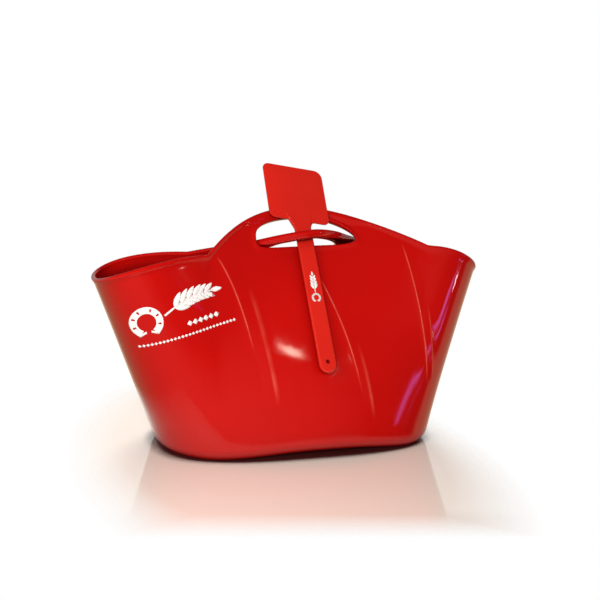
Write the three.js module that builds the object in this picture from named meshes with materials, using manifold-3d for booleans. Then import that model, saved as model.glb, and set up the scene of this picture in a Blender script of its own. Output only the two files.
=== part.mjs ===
// Flexible horse feed bucket, squeezed shut and toggled with its mixing spatula.
// The tub is one moulding: floor, wall, rolled rim and two hand grips. Its rear grip
// is pulled through the front hand hole, and the spatula's neck pins it there.
// Millimetres, +Z up, -Y is the front. The origin is the middle of the resting face.

import * as THREE from "three";
import { mergeVertices } from "three/addons/utils/BufferGeometryUtils.js";
import Module from "manifold-3d";

// ---------- tub: driving dimensions ----------

const RIM_HALF_LENGTH = 225;
// The base is a blunt oval, twisted against the rim by the squeeze: skew is how far it runs
// forwards per unit of x. The middle of its front edge stands clear of the ground.
const BASE = { x: -9, halfLength: 151, front: 98.5, rear: 99.5, power: 2.82, skew: 0.158 };
const BASE_LIFT = { height: 6.7, start: 225, full: 277, end: 322, flatShare: 0.35 };
const BASE_CORNER = 12.5;
const WALL = 3;
const BULGE = { ends: 1.03, sides: 1.25 };

// Plan of the rim: its distance from the long axis at the middle and towards the ends.
const RIM_PLAN = {
  front: { middle: 4.9, ends: 160, power: 1.85, bluntness: 0.94 },
  rear: { middle: 2.9, ends: 206.9, power: 1.88, bluntness: 0.74 },
};

// Side view of the rim: a hump for each hand grip, then a shoulder that sinks to the ends.
const HUMP = {
  front: { x: 11.5, top: 266.7, left: 124, right: 132.5, powerLeft: 2.6, powerRight: 1.53 },
  rear: { x: 10, top: 239.3, left: 125, right: 125, powerLeft: 1.3, powerRight: 1.5 },
};
const FOOT = { left: 215.8, right: 223 };
const END = { left: 191.5, right: 189.5 };
const SINK = { front: 1.9, rear: 2.3 };

// The rear grip is drawn forwards through the front hand hole.
const PULL = { depth: 50.2, reach: 80, power: 2.5 };
const FOLD = { x: 5, reach: 75, power: 3, bow: 8, lip: 35, droop: 3 };

// Hand holes: x is measured at the rim, depth down the wall from the rim.
const HAND_HOLE = {
  front: {
    x: 5.5, depth: 27.5, halfWidth: 58.5, up: 13.5, down: 20,
    upLeft: 5, upRight: 2.2, downLeft: 2.4, downRight: 1.6,
  },
  rear: {
    x: -4, depth: 30, halfWidth: 54, up: 16, down: 18,
    upLeft: 2.6, upRight: 2.6, downLeft: 2.4, downRight: 2.4,
  },
};

// Rolled edges: half the thickness of the bead, and how far it fades into the wall.
const RIM_BEAD = { half: 3, fade: 5 };
const HOLE_BEAD = { half: 2.6, fade: 6 };
const GRIP = { half: 4.4, fade: 12, flat: 42, end: 80 };

// ---------- tub: mesh layout ----------

const DEG = Math.PI / 180;
const PATCH = { rear: [69.7, 112.2], front: [249.2, 293.6] };
const PATCH_COLUMNS = 12;
const END_COLUMNS = 24;
const END_CROWDING = 1.35;
const FLOOR_RINGS = [0.25, 0.5, 0.78];
const CORNER_ROWS = [0, 22.5, 45, 67.5, 90];
const MIDDLE_ROWS = 5;
const GRIP_ROWS = [75, 55, 37, 20, 5];
const RIM_ROWS = [3.2, 1.5, 0.4, 0];
const HOLE_RINGS = [0, 0.5, 1.8, 4.2];

// ---------- spatula: driving dimensions ----------

const LEAN = 23.9;
const TILT = 1.4;
const FOOT_Y = -129.05;
const HANDLE = { width: 19.6, thick: 5, x: 3.9, tip: 99, top: 268, hangHole: 4.5, holeUp: 12 };
const NECK = { start: 256, left: [-13, 274], right: [14.5, 271], rise: 14 };
const BLADE = {
  thick: 2.2, left: -36.8, right: 33.4,
  topLeft: 345.5, topRight: 335, bottomLeft: 279, bottomRight: 267,
  radius: 9,
};

const COLOUR = { tub: 0xd41a10, spatula: 0xd8261a };

// ---------- small helpers ----------

const clamp01 = (v) => Math.min(1, Math.max(0, v));
const mix = (a, b, u) => a + (b - a) * u;
const signedPower = (v, p) => Math.sign(v) * Math.abs(v) ** p;

function smooth(v) {
  const u = clamp01(v);
  return u * u * (3 - 2 * u);
}

// ---------- tub: the outer surface ----------

function pullAt(x) {
  return Math.exp(-((Math.abs(x) / PULL.reach) ** PULL.power));
}

function rimHeight(x, front) {
  const hump = front ? HUMP.front : HUMP.rear;
  const foot = x < 0 ? FOOT.left : FOOT.right;
  const end = x < 0 ? END.left : END.right;
  const fromPeak = x - hump.x;
  const reach = fromPeak < 0 ? hump.left : hump.right;
  const power = fromPeak < 0 ? hump.powerLeft : hump.powerRight;
  const rise = 1 - clamp01(Math.abs(fromPeak) / reach) ** power;
  const footX = Math.abs(hump.x + Math.sign(fromPeak) * reach);
  const sink = clamp01((Math.abs(x) - footX) / (RIM_HALF_LENGTH - footX));
  return foot + (hump.top - foot) * rise + (end - foot) * sink ** (front ? SINK.front : SINK.rear);
}

function rimPoint(phi) {
  const c = Math.cos(phi);
  const s = Math.sin(phi);
  const front = s < 0;
  const plan = front ? RIM_PLAN.front : RIM_PLAN.rear;
  const x = RIM_HALF_LENGTH * c;
  const across = plan.middle + (plan.ends - plan.middle) * Math.abs(c) ** plan.power;
  const pull = front ? 0 : PULL.depth * pullAt(x);
  const y = signedPower(s, plan.bluntness) * across - pull;
  return new THREE.Vector3(x, y, rimHeight(x, front));
}

// How far the edge of the base stands clear of the ground, by angle.
function edgeLift(phi) {
  const degrees = (phi / DEG) % 360;
  const rise = smooth((degrees - BASE_LIFT.start) / (BASE_LIFT.full - BASE_LIFT.start));
  const fall = smooth((degrees - BASE_LIFT.full) / (BASE_LIFT.end - BASE_LIFT.full));
  return BASE_LIFT.height * rise * (1 - fall);
}

// The floor is flat in the middle and curves up to the lifted stretch of its edge.
function floorHeight(phi, share) {
  const u = clamp01((share - BASE_LIFT.flatShare) / (1 - BASE_LIFT.flatShare));
  return edgeLift(phi) * u * u;
}

function basePoint(phi) {
  const power = 2 / BASE.power;
  const s = Math.sin(phi);
  const x = BASE.x + BASE.halfLength * signedPower(Math.cos(phi), power);
  const y = (s < 0 ? BASE.front : BASE.rear) * signedPower(s, power) - BASE.skew * x;
  return new THREE.Vector3(x, y, edgeLift(phi));
}

// Rear middle of the wall: it rises, leans in and ends nearly level at the pulled grip.
function foldedPoint(base, rim, t) {
  const curve = new THREE.CubicBezierCurve3(
    base,
    new THREE.Vector3(mix(base.x, rim.x, 1 / 3), base.y + FOLD.bow, mix(base.z, rim.z, 1 / 3)),
    new THREE.Vector3(mix(base.x, rim.x, 2 / 3), rim.y + FOLD.lip, rim.z + FOLD.droop),
    rim,
  );
  return curve.getPoint(t);
}

function wallPoint(phi, t) {
  const base = basePoint(phi);
  const rim = rimPoint(phi);
  const s = Math.sin(phi);
  const bulge = mix(BULGE.ends, BULGE.sides, s * s);
  const out = t ** bulge;
  const point = new THREE.Vector3(mix(base.x, rim.x, out), mix(base.y, rim.y, out), mix(base.z, rim.z, t));
  if (s > 0) {
    const fold = Math.exp(-((Math.abs(rim.x - FOLD.x) / FOLD.reach) ** FOLD.power));
    point.lerp(foldedPoint(base, rim, t), fold);
  }
  const up = clamp01((point.z - base.z) / BASE_CORNER);
  const inset = BASE_CORNER * (1 - Math.sqrt(1 - (1 - up) ** 2));
  const reach = Math.hypot(base.x, base.y);
  point.x -= (inset * base.x) / reach;
  point.y -= (inset * base.y) / reach;
  return point;
}

// The height parameter at a distance down the wall from the rim.
function parameterAtDepth(phi, depth) {
  const step = 0.01;
  let t = 1;
  let gone = 0;
  let above = wallPoint(phi, t);
  while (t > step) {
    const below = wallPoint(phi, t - step);
    const length = above.distanceTo(below);
    if (gone + length >= depth) return t - (step * (depth - gone)) / length;
    gone += length;
    above = below;
    t -= step;
  }
  return t;
}

// ---------- tub: sheet of points on that surface ----------

function columnAngles() {
  const angles = [];
  const addPatch = ([from, to]) => {
    for (let i = 0; i < PATCH_COLUMNS; i++) angles.push(mix(from, to, i / PATCH_COLUMNS) * DEG);
  };
  const addEnd = (from, to) => {
    for (let i = 0; i < END_COLUMNS; i++) {
      const u = signedPower((2 * i) / END_COLUMNS - 1, END_CROWDING);
      angles.push(mix(from, to, (u + 1) / 2) * DEG);
    }
  };
  addPatch(PATCH.rear);
  addEnd(PATCH.rear[1], PATCH.front[0]);
  addPatch(PATCH.front);
  addEnd(PATCH.front[1], PATCH.rear[0] + 360);
  return angles;
}

class Sheet {
  constructor() {
    this.points = [];
    this.half = [];
    this.faces = [];
  }

  // half is half the wall's thickness at the point, 0 on a free edge.
  add(point, half) {
    this.points.push(point);
    this.half.push(half);
    return this.points.length - 1;
  }

  quad(a, b, c, d) {
    this.faces.push([a, b, c], [a, c, d]);
  }

  normals() {
    const normals = this.points.map(() => new THREE.Vector3());
    for (const [a, b, c] of this.faces) {
      const ab = this.points[b].clone().sub(this.points[a]);
      const ac = this.points[c].clone().sub(this.points[a]);
      const normal = ab.cross(ac);
      for (const index of [a, b, c]) normals[index].add(normal);
    }
    return normals.map((normal) => normal.normalize());
  }

  // Both skins of the wall, which meet along every free edge.
  solid() {
    const normals = this.normals();
    const count = this.points.length;
    const positions = new Float32Array(count * 6);
    this.points.forEach((point, i) => {
      const offsets = [this.half[i] - WALL / 2, -this.half[i] - WALL / 2];
      offsets.forEach((offset, skin) => {
        point.clone().addScaledVector(normals[i], offset).toArray(positions, (skin * count + i) * 3);
      });
    });
    const index = [];
    for (const [a, b, c] of this.faces) {
      index.push(a, b, c);
      index.push(a + count, c + count, b + count);
    }
    const geometry = new THREE.BufferGeometry();
    geometry.setAttribute("position", new THREE.BufferAttribute(positions, 3));
    geometry.setIndex(index);
    return mergeVertices(geometry, 1e-4);
  }
}

// A rolled edge: round at the very edge, and fading into the plain wall beyond it.
function beadHalf(distance, half, fade) {
  return mix(half, WALL / 2, smooth((distance - half) / fade));
}

function edgeRounding(distance, radius) {
  const u = 1 - clamp01(distance / radius);
  return Math.sqrt(1 - u * u);
}

function gripShare(phi) {
  const x = RIM_HALF_LENGTH * Math.cos(phi) - HUMP.front.x / 2;
  return 1 - smooth((Math.abs(x) - GRIP.flat) / (GRIP.end - GRIP.flat));
}

function wallHalf(phi, rimDistance, holeDistance = Infinity) {
  const grip = gripShare(phi);
  const full = mix(RIM_BEAD.half, GRIP.half, grip);
  const rim = beadHalf(rimDistance, full, mix(RIM_BEAD.fade, GRIP.fade, grip));
  const upper = grip * (1 - smooth((rimDistance - 16) / 12));
  const hole = beadHalf(holeDistance, mix(HOLE_BEAD.half, GRIP.half, upper), HOLE_BEAD.fade);
  const half = Math.max(rim, hole);
  return half * Math.min(edgeRounding(rimDistance, half), edgeRounding(holeDistance, half));
}

function addFloor(sheet, angles) {
  const centre = sheet.add(new THREE.Vector3(0, 0, 0), WALL / 2);
  const rings = FLOOR_RINGS.map((share) =>
    angles.map((phi) => {
      const edge = wallPoint(phi, 0);
      const place = new THREE.Vector3(edge.x * share, edge.y * share, floorHeight(phi, share));
      return sheet.add(place, WALL / 2);
    }),
  );
  angles.forEach((_, i) => {
    const next = (i + 1) % angles.length;
    sheet.faces.push([centre, rings[0][next], rings[0][i]]);
  });
  return rings;
}

function addWallRows(sheet, angles) {
  const rows = [];
  const addRow = (parameter, distance) => {
    rows.push(angles.map((phi) => sheet.add(wallPoint(phi, parameter(phi)), wallHalf(phi, distance))));
  };
  const cornerTop = (phi, beta) =>
    (BASE_CORNER * (1 - Math.cos(beta * DEG))) / (rimPoint(phi).z - basePoint(phi).z);
  for (const beta of CORNER_ROWS) addRow((phi) => cornerTop(phi, beta), Infinity);
  for (let i = 1; i < MIDDLE_ROWS; i++) {
    addRow((phi) => mix(cornerTop(phi, 90), parameterAtDepth(phi, GRIP_ROWS[0]), i / MIDDLE_ROWS), Infinity);
  }
  const gripStart = rows.length;
  for (const depth of [...GRIP_ROWS, ...RIM_ROWS]) addRow((phi) => parameterAtDepth(phi, depth), depth);
  return { rows, gripStart, gripEnd: gripStart + GRIP_ROWS.length - 1 };
}

// A point on the outline of a hand hole, in the direction (u, v) from its middle.
// u runs along the wall with growing angle, v up the wall.
function holeOutline(hole, u, v, front) {
  const side = front ? u : -u;
  const upper = side < 0 ? hole.upLeft : hole.upRight;
  const lower = side < 0 ? hole.downLeft : hole.downRight;
  const power = v > 0 ? upper : lower;
  const scale = (Math.abs(u) ** power + Math.abs(v) ** power) ** (-1 / power);
  const x = hole.x + hole.halfWidth * scale * side;
  const depth = hole.depth - (v > 0 ? hole.up : hole.down) * scale * v;
  const angle = Math.acos(x / RIM_HALF_LENGTH);
  return { phi: front ? 2 * Math.PI - angle : angle, depth };
}

// The border of a patch as grid points, anticlockwise seen from outside.
function patchBorder(start, gripStart, gripEnd) {
  const right = start + PATCH_COLUMNS;
  const border = [];
  const u = (i) => (2 * (i - start)) / PATCH_COLUMNS - 1;
  const v = (j) => (2 * (j - gripStart)) / (gripEnd - gripStart) - 1;
  for (let i = start; i < right; i++) border.push({ i, j: gripStart, u: u(i), v: -1 });
  for (let j = gripStart; j < gripEnd; j++) border.push({ i: right, j, u: 1, v: v(j) });
  for (let i = right; i > start; i--) border.push({ i, j: gripEnd, u: u(i), v: 1 });
  for (let j = gripEnd; j > gripStart; j--) border.push({ i: start, j, u: -1, v: v(j) });
  return border;
}

// Rings of points from the edge of a hand hole out to the border of its patch.
function addHandHole(sheet, angles, grid, start, front) {
  const hole = front ? HAND_HOLE.front : HAND_HOLE.rear;
  const border = patchBorder(start, grid.gripStart, grid.gripEnd);
  const spokes = border.map(({ i, j, u, v }) => {
    const edge = holeOutline(hole, u, v, front);
    const from = new THREE.Vector2(edge.phi, edge.depth);
    const to = new THREE.Vector2(angles[i], GRIP_ROWS[j - grid.gripStart]);
    const pointAt = (q) => wallPoint(q.x, parameterAtDepth(q.x, q.y));
    const length = pointAt(from).distanceTo(pointAt(to));
    const last = HOLE_RINGS[HOLE_RINGS.length - 1];
    const spoke = [...HOLE_RINGS, (last + length) / 2].map((distance) => {
      const q = from.clone().lerp(to, distance / length);
      return sheet.add(pointAt(q), wallHalf(q.x, q.y, distance));
    });
    return [...spoke, grid.rows[j][i % angles.length]];
  });
  spokes.forEach((spoke, n) => {
    const next = spokes[(n + 1) % spokes.length];
    for (let k = 0; k + 1 < spoke.length; k++) sheet.quad(spoke[k], spoke[k + 1], next[k + 1], next[k]);
  });
}

function tubGeometry() {
  const sheet = new Sheet();
  const angles = columnAngles();
  const floor = addFloor(sheet, angles);
  const grid = addWallRows(sheet, angles);
  const rows = [...floor, ...grid.rows];
  const frontStart = PATCH_COLUMNS + END_COLUMNS;
  const inPatch = (i, start) => i >= start && i < start + PATCH_COLUMNS;
  rows.slice(0, -1).forEach((row, j) => {
    const level = j - floor.length;
    const gripLevel = level >= grid.gripStart && level < grid.gripEnd;
    row.forEach((_, i) => {
      if (gripLevel && (inPatch(i, 0) || inPatch(i, frontStart))) return;
      const next = (i + 1) % angles.length;
      sheet.quad(row[i], row[next], rows[j + 1][next], rows[j + 1][i]);
    });
  });
  addHandHole(sheet, angles, grid, 0, false);
  addHandHole(sheet, angles, grid, frontStart, true);
  return sheet.solid();
}

// ---------- spatula ----------

const wasm = await Module();
wasm.setup();

function solidFrom(geometry) {
  const bare = geometry.clone();
  bare.deleteAttribute("normal");
  bare.deleteAttribute("uv");
  const merged = mergeVertices(bare, 1e-4);
  return new wasm.Manifold(
    new wasm.Mesh({
      numProp: 3,
      vertProperties: merged.attributes.position.array,
      triVerts: new Uint32Array(merged.index.array),
    }),
  );
}

function geometryFrom(solid) {
  const mesh = solid.getMesh();
  const geometry = new THREE.BufferGeometry();
  geometry.setAttribute("position", new THREE.BufferAttribute(mesh.vertProperties, 3));
  geometry.setIndex(new THREE.BufferAttribute(mesh.triVerts, 1));
  return geometry;
}

// A polygon with every corner rounded to the same radius.
function roundedShape(corners, radius) {
  const shape = new THREE.Shape();
  corners.forEach(([x, y], i) => {
    const here = new THREE.Vector2(x, y);
    const towards = (corner) => new THREE.Vector2(...corner).sub(here).setLength(radius).add(here);
    const enter = towards(corners.at(i - 1));
    const leave = towards(corners[(i + 1) % corners.length]);
    if (i === 0) shape.moveTo(enter.x, enter.y);
    else shape.lineTo(enter.x, enter.y);
    shape.quadraticCurveTo(x, y, leave.x, leave.y);
  });
  shape.closePath();
  return shape;
}

// A flat piece between two heights above the spatula's back, with a small chamfer.
function slab(shape, from, thick, chamfer) {
  const geometry = new THREE.ExtrudeGeometry(shape, {
    depth: thick - 2 * chamfer,
    bevelEnabled: true,
    bevelThickness: chamfer,
    bevelSize: chamfer,
    bevelOffset: -chamfer,
    bevelSegments: 1,
    curveSegments: 8,
  });
  return geometry.translate(0, 0, from + chamfer);
}

function handleShape() {
  const half = HANDLE.width / 2;
  const shape = new THREE.Shape();
  shape.moveTo(half, HANDLE.top);
  shape.lineTo(-half, HANDLE.top);
  shape.lineTo(-half, HANDLE.tip + half);
  shape.absarc(0, HANDLE.tip + half, half, Math.PI, 2 * Math.PI, false);
  shape.closePath();
  const hole = new THREE.Path();
  hole.absarc(0, HANDLE.tip + HANDLE.holeUp, HANDLE.hangHole / 2, 0, 2 * Math.PI, true);
  shape.holes.push(hole);
  return shape;
}

function neckShape() {
  const half = HANDLE.width / 2;
  const shape = new THREE.Shape();
  shape.moveTo(-half, NECK.start);
  shape.lineTo(half, NECK.start);
  shape.lineTo(...NECK.right);
  shape.lineTo(NECK.right[0] + 3, NECK.right[1] + NECK.rise);
  shape.lineTo(NECK.left[0] - 5, NECK.left[1] + NECK.rise);
  shape.lineTo(...NECK.left);
  shape.closePath();
  return shape;
}

function bladeShape() {
  const corners = [
    [BLADE.left, BLADE.topLeft],
    [BLADE.left, BLADE.bottomLeft],
    [BLADE.right, BLADE.bottomRight],
    [BLADE.right, BLADE.topRight],
  ];
  return roundedShape(corners, BLADE.radius);
}

function spatulaGeometry() {
  const middle = (HANDLE.thick - BLADE.thick) / 2;
  const straighten = TILT * DEG;
  const handle = slab(handleShape(), 0, HANDLE.thick, 0.8);
  handle.translate(0, -HANDLE.tip, 0).rotateZ(straighten).translate(HANDLE.x, HANDLE.tip, 0);
  const neck = slab(neckShape(), middle - 0.8, BLADE.thick + 1.6, 0.4);
  const blade = slab(bladeShape(), middle, BLADE.thick, 0.4);
  return geometryFrom(solidFrom(handle).add(solidFrom(neck)).add(solidFrom(blade)));
}

// ---------- assembly ----------

function namedMesh(name, geometry, colour, roughness) {
  const material = new THREE.MeshStandardMaterial({ color: colour, roughness, metalness: 0 });
  const mesh = new THREE.Mesh(geometry, material);
  mesh.name = name;
  return mesh;
}

const bucket = new THREE.Group();
bucket.add(namedMesh("tub", tubGeometry(), COLOUR.tub, 0.22));

const spatulaPlane = new THREE.Group();
spatulaPlane.position.set(0, FOOT_Y, 0);
spatulaPlane.rotation.x = (90 - LEAN) * DEG;
spatulaPlane.add(namedMesh("spatula", spatulaGeometry(), COLOUR.spatula, 0.35));
bucket.add(spatulaPlane);

export default bucket;
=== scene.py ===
"""Flexible feed bucket, squeezed shut and toggled with its mixing spatula, on a pale studio floor.

Lengths are in millimetres of the drawing and become metres through MM, which comes from the frame.
-Y is the front, +Z is up, and the origin is the middle of the resting face.
"""

import math

import bmesh
import bpy
import numpy as np
from mathutils import Matrix, Quaternion, Vector


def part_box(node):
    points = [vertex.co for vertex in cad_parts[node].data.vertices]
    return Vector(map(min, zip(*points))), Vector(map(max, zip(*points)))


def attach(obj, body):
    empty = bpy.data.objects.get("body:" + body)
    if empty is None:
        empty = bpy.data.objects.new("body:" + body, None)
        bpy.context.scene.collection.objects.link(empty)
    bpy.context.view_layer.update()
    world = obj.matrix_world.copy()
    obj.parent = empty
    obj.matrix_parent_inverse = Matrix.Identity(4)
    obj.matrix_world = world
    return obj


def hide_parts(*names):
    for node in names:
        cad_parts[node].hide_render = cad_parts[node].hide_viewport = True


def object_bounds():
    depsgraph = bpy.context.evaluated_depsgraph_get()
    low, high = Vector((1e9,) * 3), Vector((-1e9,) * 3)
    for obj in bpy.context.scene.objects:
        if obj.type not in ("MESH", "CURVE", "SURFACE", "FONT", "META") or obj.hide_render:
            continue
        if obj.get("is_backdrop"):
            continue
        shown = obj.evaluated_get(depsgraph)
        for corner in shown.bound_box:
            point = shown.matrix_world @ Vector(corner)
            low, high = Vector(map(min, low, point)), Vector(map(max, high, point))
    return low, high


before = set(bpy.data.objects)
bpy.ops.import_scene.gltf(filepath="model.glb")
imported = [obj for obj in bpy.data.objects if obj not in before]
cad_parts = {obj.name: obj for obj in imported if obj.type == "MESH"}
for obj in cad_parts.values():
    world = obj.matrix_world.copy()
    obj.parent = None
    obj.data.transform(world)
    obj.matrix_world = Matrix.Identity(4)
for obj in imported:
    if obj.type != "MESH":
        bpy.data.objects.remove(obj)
CAD_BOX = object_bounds()

# ---------- the tub's driving dimensions: the frame's own, with finer edges and the creases ----------

TUB_LENGTH = 451.0
TUB_LOW, TUB_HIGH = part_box("tub")
MM = (TUB_HIGH[0] - TUB_LOW[0]) / TUB_LENGTH

RIM_HALF_LENGTH = 225
BASE = {"x": -9, "half_length": 151, "front": 98.5, "rear": 99.5, "power": 2.82, "skew": 0.158}
BASE_LIFT = {"height": 6.7, "start": 225, "full": 277, "end": 322, "flat_share": 0.35}
BASE_CORNER = 12.5
WALL = 3
BULGE = {"ends": 1.03, "sides": 1.25}

RIM_PLAN = {
    "front": {"middle": 4.9, "ends": 160, "power": 1.85, "bluntness": 0.94},
    "rear": {"middle": 2.9, "ends": 206.9, "power": 1.88, "bluntness": 0.74},
}
HUMP = {
    "front": {
        "x": 11.5, "top": 266.7, "left": 124, "right": 132.5, "power_left": 2.6, "power_right": 1.53,
    },
    "rear": {"x": 10, "top": 239.3, "left": 125, "right": 125, "power_left": 1.3, "power_right": 1.5},
}
FOOT = {"left": 215.8, "right": 223}
END = {"left": 191.5, "right": 189.5}
SINK = {"front": 1.9, "rear": 2.3}

PULL = {"depth": 50.2, "reach": 80, "power": 2.5}
FOLD = {"x": 5, "reach": 75, "power": 3, "bow": 8, "lip": 35, "droop": 3}

HAND_HOLE = {
    "front": {
        "x": 5.5, "depth": 27.5, "half_width": 58.5, "up": 13.5, "down": 20,
        "up_left": 5, "up_right": 2.2, "down_left": 2.4, "down_right": 1.6,
    },
    "rear": {
        "x": -4, "depth": 30, "half_width": 54, "up": 16, "down": 18,
        "up_left": 2.6, "up_right": 2.6, "down_left": 2.4, "down_right": 2.4,
    },
}
RIM_BEAD = {"half": 2.7, "fade": 4}
HOLE_BEAD = {"half": 2.6, "fade": 6}
GRIP = {"half": 4.4, "fade": 12, "flat": 42, "end": 80}

# Swept creases moulded into both long sides. Each is a strip between two sharp lines: the first
# starts at an angle and a share of the height and turns as it comes down; the second runs beside
# it, comes in later and ends lower.
CREASES = [
    {"angle": 242.5, "top": 0.955, "turn": 26, "slow": 10, "first_end": 0.42, "bottom": 0.19, "gap": 4.1},
    {"angle": 273.6, "top": 0.700, "turn": 30, "slow": 22, "first_end": 0.22, "bottom": 0.12, "gap": 3.3},
    {"angle": 300.8, "top": 0.955, "turn": 26.3, "slow": 0, "first_end": 0.29, "bottom": 0.29, "gap": 4.2},
]
CREASE_HEIGHT = 0.55
CREASE_RAMP = 4
RIDGE = {"height": 0.28, "width": 0.5}

# The wall leans in under a crisp line where the base stands clear of the ground.
FOOT_BAND = {"height": 21, "lean": 0.13}

# ---------- mesh layout of the tub ----------

PATCH = {"rear": (69.7, 112.2), "front": (249.2, 293.6)}
PATCH_COLUMNS = 64
END_COLUMNS = 90
END_CROWDING = 1.35
CREASE_CLUSTER = [
    -3.4, -2.4, -1.7, -1.1, -0.7, -0.42, -0.22, -0.1, 0, 0.1, 0.22, 0.42, 0.7, 1.1, 1.7, 2.4, 3.1,
    3.6, 3.86, 4.0, 4.1, 4.2, 4.34, 4.6, 5.0,
]
CREASE_CLEARANCE = (-3.6, 5.4)
FLOOR_RINGS = [0.08, 0.2, 0.35, 0.5, 0.65, 0.8, 0.92]
CORNER_ROWS = np.linspace(0, 90, 11)
MIDDLE_ROWS = 64
PATCH_TOP = 5
PATCH_BOTTOM = 75
PATCH_ROWS = 22
RIM_ROWS = [4.4, 3.8, 3.2, 2.7, 2.1, 1.6, 1.1, 0.7, 0.35, 0.1, 0]
HOLE_RINGS = [0, 0.1, 0.35, 0.7, 1.1, 1.6, 2.1, 2.7, 3.3, 4.2, 5.4]
HOLE_FAR_RINGS = 8
HOLE_RING_GROWTH = 1.2
HEIGHT_SAMPLES = 201

# Stands for the distance from a rim or hole that is too far away to matter.
FAR = 1000

# ---------- spatula ----------

LEAN = 23.9
TILT = 1.4
FOOT_Y = -129.05
HANDLE = {"width": 19.6, "thick": 5, "x": 3.9, "tip": 99, "top": 268, "hang_hole": 4.5, "hole_up": 12}
NECK = {"start": 264, "left": (-21.5, 290.5), "right": (14.5, 281), "taper": 14, "fillet": 6, "point": 2.2}
BLADE = {
    "thick": 2.2, "left": -36.8, "right": 33.4,
    "top_left": 345.5, "top_right": 335, "bottom_left": 279, "bottom_right": 267,
    "radius": 9,
}

# ---------- printed drawing ----------

# The drawing's origin on the tub's front and its slope, and how the ink lies on the plastic.
PRINT_ORIGIN = (-186, 122.5)
PRINT_SLOPE = 13.5
INK = {"thick": 0.06, "lift_tub": 0.12, "lift_handle": 0.072}

# ---------- colours, wear, painted highlight and painted shade ---

# Painted shade: the plastic's colour is darkened where it faces a hollow or the floor: reach of that
# painted shade in metres, and the share of open surroundings at which it begins and ends.
HOLLOW_PAINTED_SHADE = {"reach": 0.10, "open_share": (0.25, 0.85), "strength": 0.35}

# Painted shade inside the tub: its colour darkens over this distance below the rim, in millimetres, to
# this share.
INSIDE_PAINTED_SHADE = {"fade": 20, "share": 0.38}
WHITE_INK = {"fresh": (0.66, 0.64, 0.62, 1), "worn": (0.58, 0.42, 0.38, 1)}
# pale: colour of the crease lines, worn pale, with a painted highlight along them
TUB_PLASTIC = {
    "colour": (0.37, 0.0028, 0.0018, 1), "deep": (0.34, 0.0024, 0.0016, 1),
    "pale": (0.60, 0.10, 0.065, 1), "roughness": 0.07, "scuff": 0.06,
}
SPATULA_PLASTIC = {
    "colour": (0.48, 0.012, 0.006, 1), "deep": (0.44, 0.010, 0.005, 1),
    "pale": (0.60, 0.10, 0.065, 1), "roughness": 0.24, "scuff": 0.12,
}

# ---------- surroundings: the floor in metres, the camera and lights in millimetres ----------

# A warm sheet that fades into the white surround outside an oval and towards the camera, with a
# painted shadow: its colour darkens where the bucket keeps the light off it.
FLOOR = {
    "colour": (0.88, 0.78, 0.69, 1), "shade": (0.07, 0.012, 0.012, 1), "ior": 2.3,
    "contact": 0.033, "open_share": (0.36, 0.62),
    "middle": (0.035, 0, 0), "stretch": (1.2, 0.7, 0), "fade": (0.20, 0.27),
    "across": (-0.363, -0.932, 0), "near_edge": (0.228, 0.27),
}

# What the glossy plastic mirrors, by direction.
WORLD = {
    "dark": (0.035, 0.03, 0.03, 1), "front": (0.30, 0.25, 0.22, 1), "behind": (0.36, 0.34, 0.32, 1),
    "ground_right": (1.0, 0.62, 0.40, 1), "ground_left": (0.45, 0.27, 0.17, 1),
    "ambient": (0.22, 0.22, 0.22, 1), "front_axis": (0.25, 0.968, 0),
}

CAMERA = {"turn": 21.28, "pitch": 6.58, "distance": 784.1, "aside": 5.66, "height": 249.8, "lens": 40.63}

# Soft lights light the surfaces and stay out of the reflections.
SOFT_AIM = (0, 0, 130)
SOFT_LIGHTS = {
    "key": {"place": (-505, -418, 320), "size": (250, 250), "power": 1.7, "colour": (1, 0.98, 0.95)},
    "front": {"place": (-500, -1250, 500), "size": (500, 400), "power": 22.5, "colour": (1, 0.97, 0.94)},
    "back": {"place": (350, 1250, 900), "size": (900, 900), "power": 24, "colour": (1, 0.97, 0.94)},
    "top": {"place": (-40, -30, 1100), "size": (700, 700), "power": 0.6, "colour": (1, 0.93, 0.88)},
}

# The white backdrop as the floor mirrors it.
BACKDROP = {
    "place": (730, 1870, 450), "aim": (0, 0, 450), "size": (5000, 1100), "power": 9,
    "colour": (0.88, 0.98, 1),
}

# Mirrored lights show only as reflections. Each stands at an azimuth (0 front, 90 right), an
# elevation and a distance from the point of the wall that mirrors it.
WALL_POINT = (-40, -62, 116)
END_POINT = (150, -70, 120)
BESIDE_END = (230, -70, 120)
VIOLET = (0.5, 0.25, 1)
MIRRORED_LIGHTS = {
    "flash": {
        "point": WALL_POINT, "azimuth": 10.6, "elevation": 25.2, "distance": 1400, "aim": WALL_POINT,
        "size": (165, 18), "roll": -41, "spread": 3, "power": 0.00014, "colour": (1, 0.88, 0.70),
    },
    "violet_pane": {
        "point": END_POINT, "azimuth": 41, "elevation": 2.5, "distance": 2000, "aim": BESIDE_END,
        "size": (280, 220), "roll": 0, "spread": 11, "power": 0.0034, "colour": VIOLET,
    },
    "violet_low_pane": {
        "point": END_POINT, "azimuth": 48.4, "elevation": -2.2, "distance": 2000, "aim": BESIDE_END,
        "size": (120, 110), "roll": 0, "spread": 11, "power": 0.00075, "colour": VIOLET,
    },
    "lamp": {
        "point": END_POINT, "azimuth": 48, "elevation": 2.4, "distance": 2000, "aim": (0, -60, 200),
        "size": (36, 36), "roll": 0, "spread": 180, "power": 0.3, "colour": (1, 0.85, 0.8),
    },
}


# ---------- the tub's outer surface, in millimetres ----------


def mix(a, b, share):
    return a + (b - a) * share


def smooth(v):
    u = np.clip(v, 0, 1)
    return u * u * (3 - 2 * u)


def signed_power(v, power):
    return np.sign(v) * np.abs(v) ** power


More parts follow.
